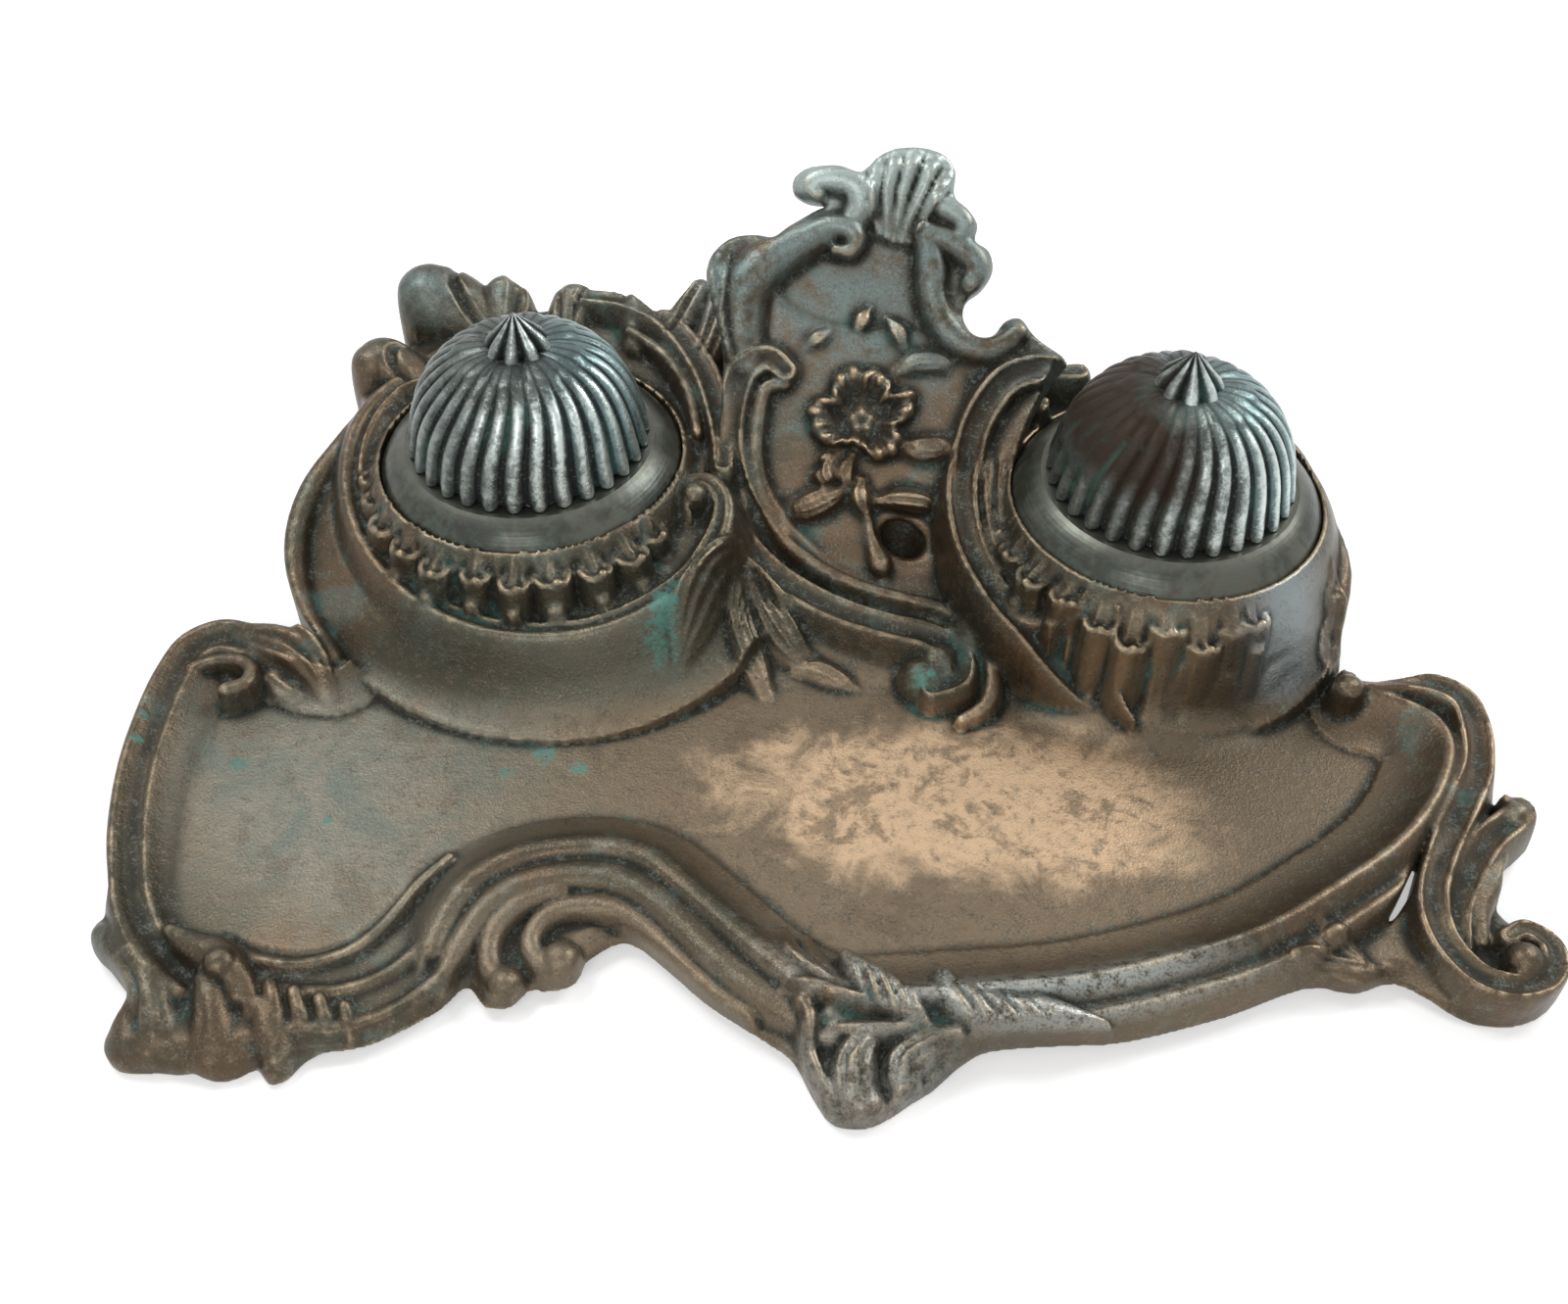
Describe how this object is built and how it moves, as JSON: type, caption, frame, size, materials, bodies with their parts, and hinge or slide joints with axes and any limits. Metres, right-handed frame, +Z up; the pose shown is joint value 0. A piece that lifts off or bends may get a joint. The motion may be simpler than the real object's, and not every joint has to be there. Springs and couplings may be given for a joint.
{
  "type": "desk inkstand",
  "caption": "Cast scrollwork inkstand with a pen tray, a leaning crest and paired ink wells, each with a glass cup under a hinged ribbed lid.",
  "frame": {"origin": "centre of the stand's bounding box, on the table it stands on", "axes": "+X along the length, to the writer's right; +Y to the back, towards the crest; +Z up"},
  "size_m": [0.3313, 0.2339, 0.0972],
  "materials": {
    "cast_bronze": "aged brown bronze, worn bright on the high points, with green in the hollows",
    "collar_bronze": "smooth dark bronze",
    "lid_bronze": "dark blue-grey patina with worn ribs",
    "hinge_brass": "dull brass",
    "screw_steel": "dull steel",
    "cup_glass": "clear pressed glass"
  },
  "bodies": {
    "stand": {"tray_casting": "cast_bronze", "left_collar": "collar_bronze", "left_collar_screws": "screw_steel", "left_ink_cup": "cup_glass", "left_hinge_bracket": "hinge_brass", "left_hinge_pin": "screw_steel", "right_collar": "collar_bronze", "right_collar_screws": "screw_steel", "right_ink_cup": "cup_glass", "right_hinge_bracket": "hinge_brass", "right_hinge_pin": "screw_steel"},
    "left_lid": {"left_lid": "lid_bronze", "left_lid_leaf": "hinge_brass", "left_knop": "lid_bronze", "left_knop_nut": "hinge_brass"},
    "right_lid": {"right_lid": "lid_bronze", "right_lid_leaf": "hinge_brass", "right_knop": "lid_bronze", "right_knop_nut": "hinge_brass"}
  },
  "joints": [
    {"name": "left_lid_hinge", "type": "hinge", "parent": "stand", "child": "left_lid", "pos_m": [-0.08, 0.079, 0.047], "axis": [-1, 0, 0], "range_deg": [0, 100]},
    {"name": "right_lid_hinge", "type": "hinge", "parent": "stand", "child": "right_lid", "pos_m": [0.08, 0.079, 0.047], "axis": [-1, 0, 0], "range_deg": [0, 100]}
  ]
}
